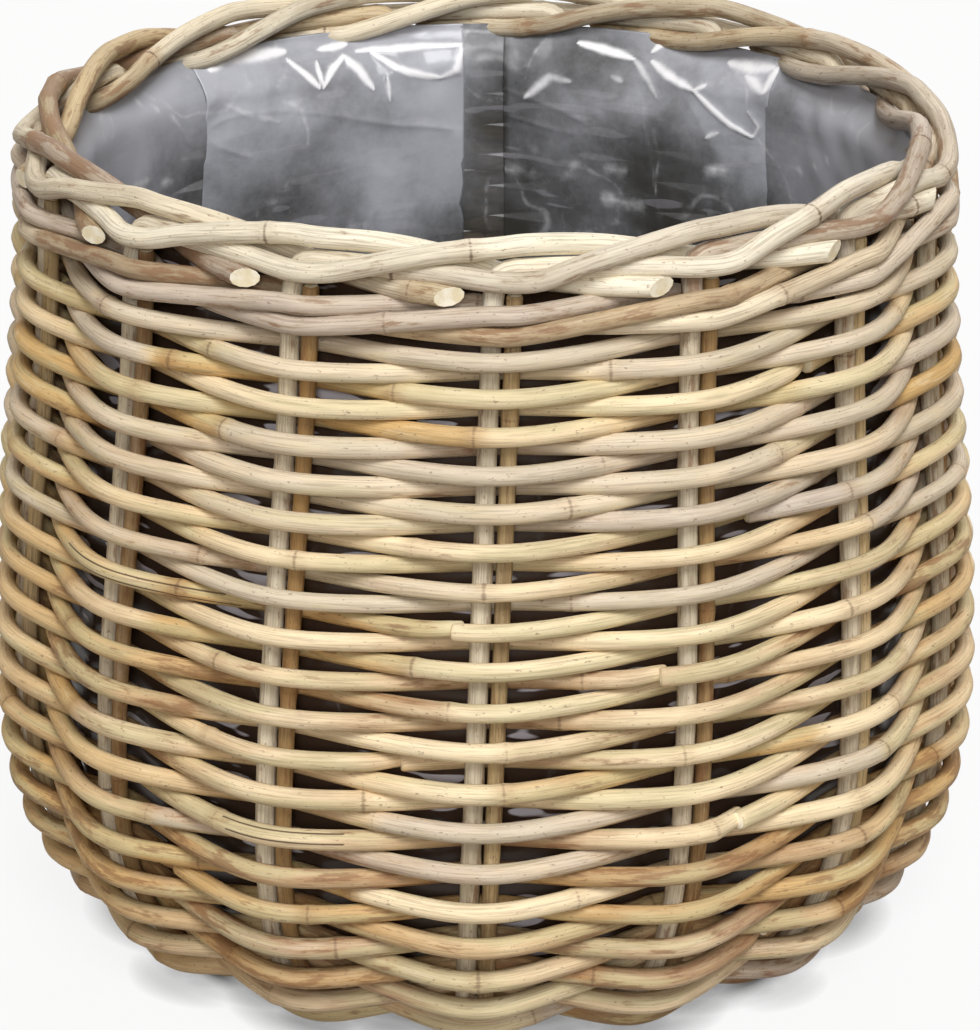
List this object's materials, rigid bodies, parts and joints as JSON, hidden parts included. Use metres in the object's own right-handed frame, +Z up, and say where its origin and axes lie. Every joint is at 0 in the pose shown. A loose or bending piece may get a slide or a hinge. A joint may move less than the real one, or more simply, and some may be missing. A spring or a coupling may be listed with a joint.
{
  "type": "woven planter basket",
  "caption": "Round rattan planter basket woven in single rods over paired upright stakes, with a rolled border and a clear film liner.",
  "frame": {"origin": "centre of the basket at the level of the foot it stands on", "axes": "+Z up along the basket's axis, -Y towards the viewer of the picture"},
  "size_m": [0.4082, 0.4062, 0.337],
  "materials": {
    "stake_cane": "dry peeled cane, pale grey beige",
    "bye_cane": "dry peeled cane, golden brown",
    "weaver_cane": "dry peeled cane, straw with grey and golden lengths",
    "wale_cane": "dry peeled cane, grey beige",
    "base_cane": "dry peeled cane, straw",
    "liner_film": "clear polythene film"
  },
  "bodies": {
    "root": {"main_stake_01": "stake_cane", "main_stake_02": "stake_cane", "main_stake_03": "stake_cane", "main_stake_04": "stake_cane", "main_stake_05": "stake_cane", "main_stake_06": "stake_cane", "main_stake_07": "stake_cane", "main_stake_08": "stake_cane", "main_stake_09": "stake_cane", "main_stake_10": "stake_cane", "main_stake_11": "stake_cane", "main_stake_12": "stake_cane", "main_stake_13": "stake_cane", "main_stake_14": "stake_cane", "main_stake_15": "stake_cane", "bye_stake_01": "bye_cane", "bye_stake_02": "bye_cane", "bye_stake_03": "bye_cane", "bye_stake_04": "bye_cane", "bye_stake_05": "bye_cane", "bye_stake_06": "bye_cane", "bye_stake_07": "bye_cane", "bye_stake_08": "bye_cane", "bye_stake_09": "bye_cane", "bye_stake_10": "bye_cane", "bye_stake_11": "bye_cane", "bye_stake_12": "bye_cane", "bye_stake_13": "bye_cane", "bye_stake_14": "bye_cane", "bye_stake_15": "bye_cane", "base_weaver": "base_cane", "weaver_rod_01": "weaver_cane", "weaver_rod_02": "weaver_cane", "weaver_rod_03": "weaver_cane", "weaver_rod_04": "weaver_cane", "weaver_rod_05": "weaver_cane", "weaver_rod_06": "weaver_cane", "weaver_rod_07": "weaver_cane", "weaver_rod_08": "weaver_cane", "weaver_rod_09": "weaver_cane", "weaver_rod_10": "weaver_cane", "weaver_rod_11": "weaver_cane", "weaver_rod_12": "weaver_cane", "weaver_rod_13": "weaver_cane", "weaver_rod_14": "weaver_cane", "weaver_rod_15": "weaver_cane", "weaver_rod_16": "weaver_cane", "weaver_rod_17": "weaver_cane", "wale_rod_1": "wale_cane", "wale_rod_2": "wale_cane", "wale_rod_3": "wale_cane", "base_stick_1": "base_cane", "base_stick_2": "base_cane", "base_stick_3": "base_cane", "base_stick_4": "base_cane", "base_stick_5": "base_cane", "base_stick_6": "base_cane", "base_stick_7": "base_cane", "base_stick_8": "base_cane", "liner": "liner_film"}
  },
  "joints": []
}
